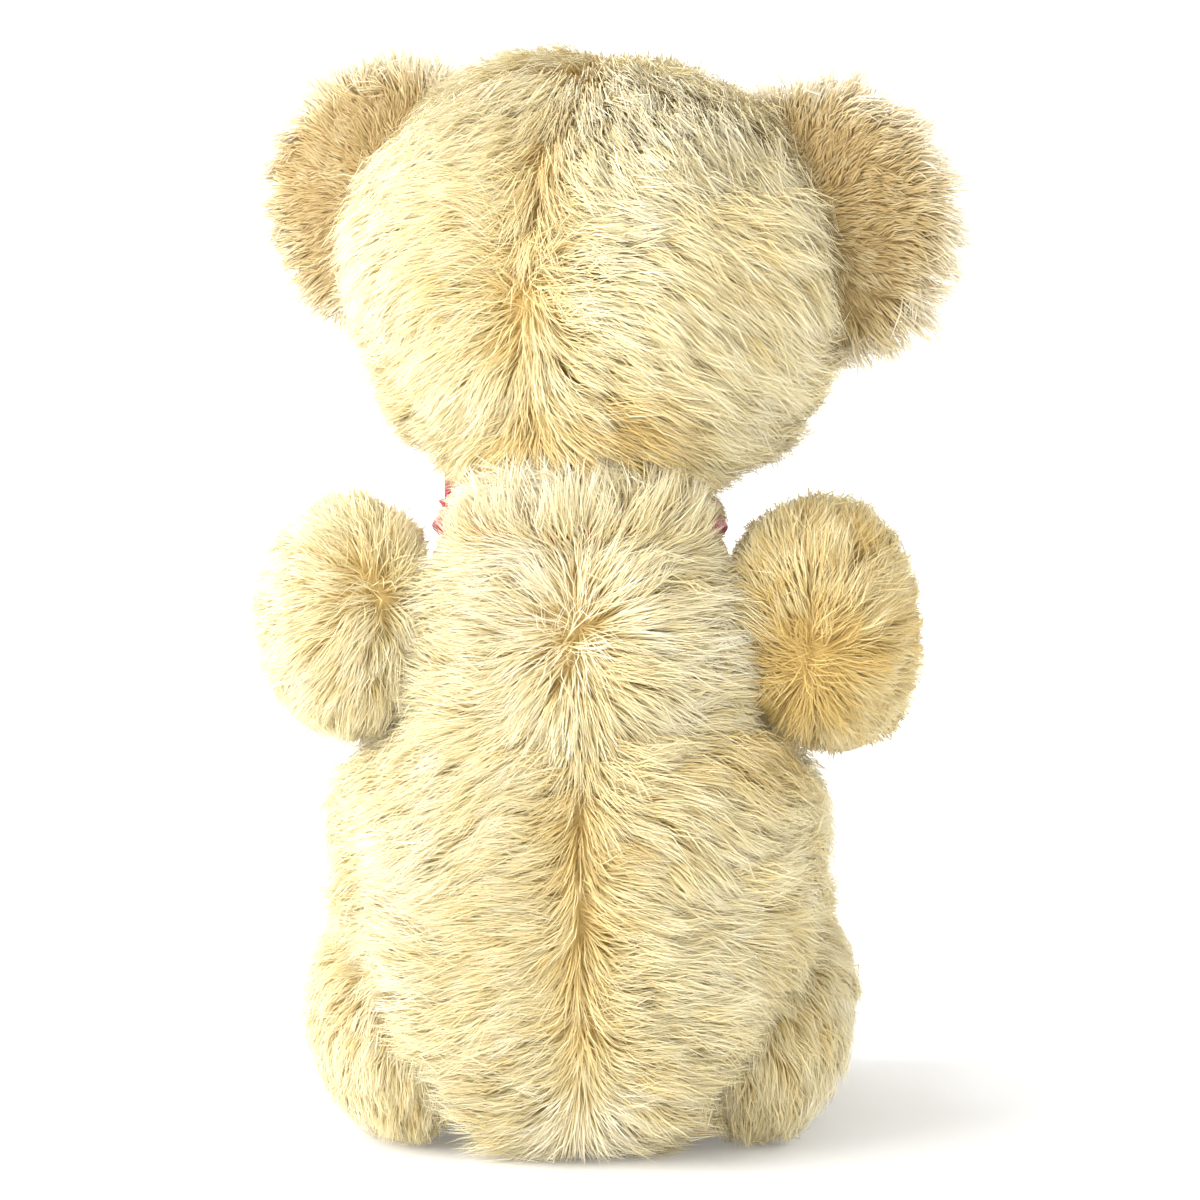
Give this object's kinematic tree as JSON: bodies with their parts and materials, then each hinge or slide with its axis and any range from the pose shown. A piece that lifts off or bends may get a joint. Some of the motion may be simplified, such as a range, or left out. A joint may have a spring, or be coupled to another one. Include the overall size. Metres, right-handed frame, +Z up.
{
  "type": "jointed teddy bear",
  "caption": "Seated plush teddy bear with disc joints at neck, shoulders and hips, stitched face, glass eyes, felt paws and a tied neck ribbon.",
  "frame": {"origin": "middle of the flat seat under the torso, on the surface it sits on", "axes": "+Z up, -Y the way the bear faces, +X the bear's left"},
  "size_m": [0.1225, 0.1276, 0.1967],
  "materials": {
    "claw_thread": "twisted cotton embroidery thread",
    "ear_plush": "short golden mohair pile",
    "eye_glass": "dark brown glass with a black pupil, polished",
    "face_thread": "twisted cotton embroidery thread",
    "hardboard": "pressed hardboard",
    "mohair_plush": "long curly cream mohair pile",
    "paw_felt": "matt wool felt",
    "pin_steel": "bright drawn wire",
    "ribbon_satin": "satin weave ribbon",
    "sole_card": "stiff grey card",
    "stuffing": "packed wood wool and kapok",
    "washer_steel": "zinc plated"
  },
  "bodies": {
    "head": {"head_gusset": "mohair_plush", "head_left_side": "mohair_plush", "head_right_side": "mohair_plush", "head_stuffing": "stuffing", "left_ear_back": "ear_plush", "left_ear_front": "ear_plush", "left_glass_eye": "eye_glass", "mouth_stitching": "face_thread", "neck_limb_disc": "hardboard", "neck_limb_washer": "washer_steel", "nose_stitching": "face_thread", "right_ear_back": "ear_plush", "right_ear_front": "ear_plush", "right_glass_eye": "eye_glass"},
    "left_arm": {"left_arm_claw_stitches": "claw_thread", "left_arm_inner_cover": "mohair_plush", "left_arm_outer_cover": "mohair_plush", "left_arm_paw_pad": "paw_felt", "left_arm_stuffing": "stuffing", "left_shoulder_limb_disc": "hardboard", "left_shoulder_limb_washer": "washer_steel"},
    "torso": {"left_hip_cotter_pin": "pin_steel", "left_hip_torso_disc": "hardboard", "left_shoulder_cotter_pin": "pin_steel", "left_shoulder_torso_disc": "hardboard", "neck_cotter_pin": "pin_steel", "neck_ribbon": "ribbon_satin", "neck_torso_disc": "hardboard", "right_hip_cotter_pin": "pin_steel", "right_hip_torso_disc": "hardboard", "right_shoulder_cotter_pin": "pin_steel", "right_shoulder_torso_disc": "hardboard", "torso_left_cover": "mohair_plush", "torso_right_cover": "mohair_plush", "torso_stuffing": "stuffing", "torso_washers": "washer_steel"},
    "left_leg": {"left_hip_limb_disc": "hardboard", "left_hip_limb_washer": "washer_steel", "left_leg_inner_cover": "mohair_plush", "left_leg_outer_cover": "mohair_plush", "left_leg_sole_card": "sole_card", "left_leg_sole_felt": "paw_felt", "left_leg_stuffing": "stuffing", "left_leg_toe_stitches": "claw_thread"},
    "right_arm": {"right_arm_claw_stitches": "claw_thread", "right_arm_inner_cover": "mohair_plush", "right_arm_outer_cover": "mohair_plush", "right_arm_paw_pad": "paw_felt", "right_arm_stuffing": "stuffing", "right_shoulder_limb_disc": "hardboard", "right_shoulder_limb_washer": "washer_steel"},
    "right_leg": {"right_hip_limb_disc": "hardboard", "right_hip_limb_washer": "washer_steel", "right_leg_inner_cover": "mohair_plush", "right_leg_outer_cover": "mohair_plush", "right_leg_sole_card": "sole_card", "right_leg_sole_felt": "paw_felt", "right_leg_stuffing": "stuffing", "right_leg_toe_stitches": "claw_thread"}
  },
  "joints": [
    {"name": "neck_turn", "type": "hinge", "parent": "torso", "child": "head", "pos_m": [0, 0, 0.121], "axis": [0, 0, 1], "continuous": true},
    {"name": "left_shoulder", "type": "hinge", "parent": "torso", "child": "left_arm", "pos_m": [0.0275, 0.001, 0.097], "axis": [-0.9994, -0.0349, 0], "range_deg": [-23, 43]},
    {"name": "right_shoulder", "type": "hinge", "parent": "torso", "child": "right_arm", "pos_m": [-0.0275, 0.001, 0.097], "axis": [-0.9925, 0.1219, 0], "range_deg": [-14, 52]},
    {"name": "left_hip", "type": "hinge", "parent": "torso", "child": "left_leg", "pos_m": [0.0205, -0.006, 0.025], "axis": [-0.9848, 0, 0.1736], "range_deg": [-95, 0]},
    {"name": "right_hip", "type": "hinge", "parent": "torso", "child": "right_leg", "pos_m": [-0.0205, -0.006, 0.025], "axis": [-0.9848, 0, -0.1736], "range_deg": [-95, 0]}
  ]
}
